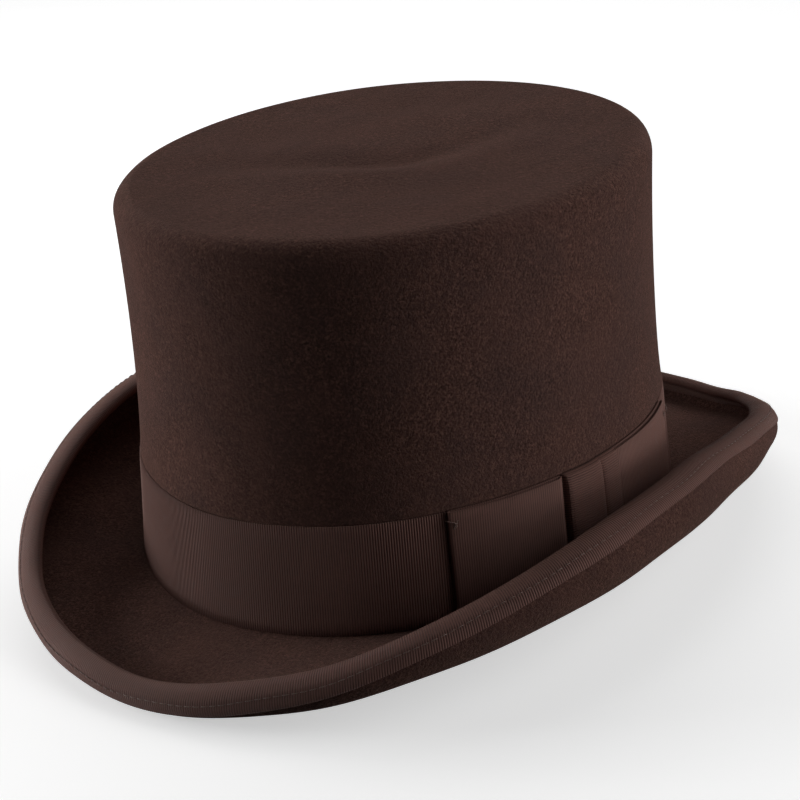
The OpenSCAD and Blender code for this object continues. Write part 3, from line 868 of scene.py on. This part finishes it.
def sweatband_stitches(material):
    rng = np.random.default_rng(11)
    rise = SWEAT_LOW + 4.5

    def line(a, bulge):
        z = foot_z(a) + rise
        return on_side(a, z, SWEAT_IN + 0.1 - bulge)

    pitch, share, radius = SWEATBAND_STITCH
    piece = threads_object("sweatband_stitches", running_stitches(line, 181, 539, pitch, share, rng), radius)
    return finish_piece(piece, material, "thread", "sweatband_stitching")


def reed_material():
    m = Nodes("reed")
    wrap = m.math("SINE", m.math("MULTIPLY", m.attribute("along"), 2 * math.pi / 0.9))
    # painted shade between the turns of the cover's wrap and painted highlight on each turn
    colour = m.mix(m.spread(wrap, -1, 1), shade(SATIN_BROWN, 0.9), shade(SATIN_BROWN, 1.8))
    return m.finish(colour, 0.62, m.bump(wrap, 0.00012, 0.7), 0.3, 0.2)


def sweatband_reed():
    """The covered cord along the leather's lower edge."""
    a = np.linspace(0, 360, 721)[:-1]
    turn = np.arange(10) * 36
    centre_r, centre_z = -FELT - 0.2 - REED, foot_z(a) + FELT
    sections = np.stack([place(a, centre_r + REED * math.cos(math.radians(t)),
                               centre_z + REED * math.sin(math.radians(t))) for t in turn], 1)[:, ::-1]
    along = arc_lengths(sections[:, 0])[:, None] + np.zeros((1, 10))
    piece = tube_strip("sweatband_reed_cord", sections, [("along", along)], True)
    return finish_piece(piece, reed_material(), "reed", "sweatband_reed")


def joint_tape(material):
    """A short ribbon behind the leather's open joint, on its outer face."""
    a, along = strip_angles(177, 183, SWEAT_OUT, 5, 12)
    outer = SWEAT_OUT + 0.5 + TAPE_RIB * np.sin(np.pi * along / RIB)
    inner = SWEAT_OUT + 0.1 + 0 * along
    rows = [(k, outer) for k in np.linspace(0, 1, 7)] + [(k, inner) for k in np.linspace(1, 0, 7)]
    sections = np.stack([on_side(a, foot_z(a) + SWEAT_LOW + TAPE_LIFT + TAPE_WIDTH * k, out)
                         for k, out in rows], 1)[:, ::-1]
    across = np.stack([0 * along + k * TAPE_WIDTH for k, _ in rows], 1)[:, ::-1]
    piece = tube_strip("joint_tape", sections, on_cloth(along, across))
    return finish_piece(piece, material, "ribbon", "sweatband_joint_tape")


def lining_side(material):
    """The satin side piece hangs in soft upright gathers that are deepest below the tip."""
    a = np.arange(0, 360, 0.75)
    inner_round = TIP_ROUND - FELT - LINING_GAP
    levels = [("side", t) for t in np.linspace(0, 1, 26)] + [("round", q) for q in np.linspace(8, 60, 10)]

    def row(kind, t, depth):
        if kind == "side":
            z = foot_z(a) + LINING_LOW + (tip_z - TIP_ROUND - foot_z(a) - LINING_LOW) * t
            return side_offset(a, z) - FELT - LINING_GAP - depth, z
        q = math.radians(t)
        r = inner_round - depth
        return -SIDE_INSET - TIP_ROUND + r * math.cos(q), tip_z - TIP_ROUND + r * math.sin(q)

    def gather(kind, t):
        amount = 0.15 + 1.15 * t if kind == "side" else 1.3 * (1 - (t - 8) / 75)
        phase = np.radians(a) * GATHERS + 1.3 * np.sin(np.radians(a) * 5 + 0.7) + (t if kind == "side" else 1)
        return amount * (0.5 + 0.5 * np.sin(phase)) ** 1.5

    def points(extra):
        made = []
        for kind, t in levels:
            r, z = row(kind, t, gather(kind, t) * 0.8 + extra)
            made.append(place(a, r, z + 0 * a))
        return made

    front, back = points(SATIN), points(0.02)
    sections = np.stack(back + front[::-1], 1)[:, ::-1]
    piece = tube_strip("lining_side_satin", sections, (), True)
    finish_piece(piece, material, "satin", "lining_side")
    return cut_sheet(piece, *LINING_CUT, "gathered", "felt_body")


def lining_tip(material):
    """The oval tip of the lining, gathered a little at its seam and sagging in the middle."""
    inner_round = TIP_ROUND - FELT - LINING_GAP - SATIN
    edge = -SIDE_INSET - TIP_ROUND + math.sqrt(inner_round ** 2 - (TIP_ROUND - LINING_HANG) ** 2) - 0.3
    a = np.arange(0, 360, 1.5)
    top = tip_z - LINING_HANG

    def rows(depth):
        made = []
        for s in np.linspace(0.05, 1, 30):
            row = place(a, edge, top - depth) * np.array([s, s, 1])
            pucker = 0.45 * s ** 6 * np.sin(np.radians(a) * GATHERS)
            row[:, 2] -= 1.6 * (1 - s ** 2) + np.abs(pucker) * (s < 0.995)
            made.append(row)
        return made

    piece = closed_ring("lining_tip_satin", rows(0) + rows(SATIN)[::-1])
    finish_piece(piece, material, "satin", "lining_tip")
    return piece


def sweatband_bow(material):
    """A small flat satin bow at the back: two creased loops and a knot across them."""
    low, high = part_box("sweatband_bow")
    centre = np.array([0, (low.y + high.y) * 500, (low.z + high.z) * 500])
    points, faces, start = [], [], 0
    for side in (-1, 1):
        rings = []
        for s in np.linspace(0, 1, 22):
            half = (1.6 + 3.3 * math.sin(s * math.pi / 2) ** 0.8) * (1 - 0.12 * max(0, s - 0.8) / 0.2)
            thick = 0.25 + 0.55 * math.sin(math.pi * min(1, s * 1.02)) ** 0.7
            ring = []
            for q in np.radians(np.arange(0, 360, 20)):
                crease = 0.16 * math.sin(3 * q) * (1 - s)
                up = half * math.sin(q) * (1 - 0.05 * math.cos(2 * q))
                ring.append((side * (2.2 + 12.4 * s), (thick + crease) * math.cos(q), up + 0.25 * s * side))
            rings.append(ring)
        rings = np.array(rings)
        m, n = rings.shape[:2]
        points.append(rings.reshape(-1, 3))
        made = tube_faces(m, n, start)
        faces += [f[::-1] for f in made] if side > 0 else made
        start += m * n
    rings = []
    for s in np.linspace(-1, 1, 12):
        half = 3.0 * (1 - 0.16 * s ** 4)
        thick = 1.0 * (1 - 0.35 * s ** 4)
        rings.append([(2.5 * s, thick * math.cos(q) * (1 + 0.05 * math.sin(5 * q)), half * math.sin(q))
                      for q in np.radians(np.arange(0, 360, 15))])
    rings = np.array(rings)
    m, n = rings.shape[:2]
    points.append(rings.reshape(-1, 3))
    faces += [f[::-1] for f in tube_faces(m, n, start)]
    piece = mesh_object("sweatband_bow_satin", np.concatenate(points) + centre, faces)
    return finish_piece(piece, material, "satin", "sweatband_bow")


def size_label():
    """A blank woven tab that stands above the leather, tucked behind its top edge."""
    a = np.linspace(LABEL_ANGLE - LABEL_REACH, LABEL_ANGLE + LABEL_REACH, 41)
    levels = [(k, lambda a, k=k: SWEAT_HEIGHT - 8 + SWEAT_LOW + LABEL_HEIGHT * k) for k in np.linspace(0, 1, 21)]
    out = -FELT - LINING_GAP - SATIN - 0.15 - 1.1

    def curl(a, k):
        return out - 0.5 * max(0, k - 0.6) + 0.1 * np.sin((a - LABEL_ANGLE) / 2 + 2 * k)

    return strip_solid("size_label_tab", a, levels, lambda a, k: curl(a, k) + 0.3, curl,
                       label_material(), "label", "size_label")


# ---------------------------------------------------------------- build
ribbon = grosgrain_material()
thread = thread_material()
satin = satin_material()
felt_body()
brim_binding(ribbon)
binding_stitches(thread)
hatband(ribbon)
bow_loop("bow_front_loop_ribbon", "bow_front_loop", BOW_START, KNOT_START - 0.3, 1.3, ribbon)
bow_loop("bow_rear_loop_ribbon", "bow_rear_loop", BOW_END, KNOT_END - 0.4, 0.3, ribbon)
bow_knot(ribbon)
bow_tacks(thread)
sweatband(leather_material())
sweatband_stitches(thread)
sweatband_reed()
joint_tape(ribbon)
lining_side(satin)
lining_tip(satin)
sweatband_bow(satin)
size_label()


# ---------------------------------------------------------------- stage
FLOOR_GLOW = 0.5        # lifts the floor to the plain white of a cut-out picture
AMBIENT = 0.004
FLOOR_REACH = 6         # metres from the middle to each side


def add_floor():
    mesh = bpy.data.meshes.new("floor")
    corners = [(x * FLOOR_REACH, y * FLOOR_REACH, 0) for x, y in ((-1, -1), (1, -1), (1, 1), (-1, 1))]
    mesh.from_pydata(corners, [], [(0, 1, 2, 3)])
    floor = bpy.data.objects.new("floor", mesh)
    bpy.context.scene.collection.objects.link(floor)
    m = Nodes("floor")
    m.shader.inputs["Emission Color"].default_value = (1, 1, 1, 1)
    m.shader.inputs["Emission Strength"].default_value = FLOOR_GLOW
    mesh.materials.append(m.finish(shade((0.9, 0.9, 0.9), 1), 0.8, None, 0.1))
    floor.visible_diffuse = False


def add_softbox(name, direction, distance, height, size, power):
    """A soft rectangular light that faces the crown."""
    data = bpy.data.lights.new(name, "AREA")
    data.shape = "RECTANGLE"
    data.size, data.size_y = size
    data.energy = power
    light = bpy.data.objects.new(name, data)
    bpy.context.scene.collection.objects.link(light)
    where = Vector(direction).normalized() * distance
    where.z = height
    light.location = where
    light.rotation_euler = (Vector((0, 0, 0.08)) - where).to_track_quat("-Z", "Y").to_euler()


# name, then metres from the hat to the camera's right and away from the camera, height, width, length, watts
LIGHTS = (
    ("top_back", 0.0, 0.9, 1.0, 1.6, 1.0, 7.0),
    ("left_low", -1.0, 0.10, 0.20, 0.5, 0.4, 6.9),
    ("left_back", -0.9, 0.5, 0.25, 0.4, 0.4, 3.4),
    ("right_low", 1.0, -0.1, 0.10, 0.5, 0.3, 3.9),
    ("right_high", 1.0, -0.2, 0.7, 0.8, 0.6, 3.0),
    ("right_front", 0.8, -0.6, 0.4, 0.6, 0.6, 1.6),
)


def add_lights():
    right, away = CAMERA_RIGHT, Vector((-CAMERA_BACK.x, -CAMERA_BACK.y, 0)).normalized()
    for name, side, back, height, width, tall, power in LIGHTS:
        where = right * side + away * back
        add_softbox(name, where, where.length, height, (width, tall), power)
    world = bpy.data.worlds.new("studio")
    world.use_nodes = True
    background = world.node_tree.nodes["Background"]
    background.inputs[0].default_value = (1, 1, 1, 1)
    background.inputs[1].default_value = AMBIENT
    bpy.context.scene.world = world


add_floor()
add_lights()
bpy.context.scene.view_settings.view_transform = "Standard"
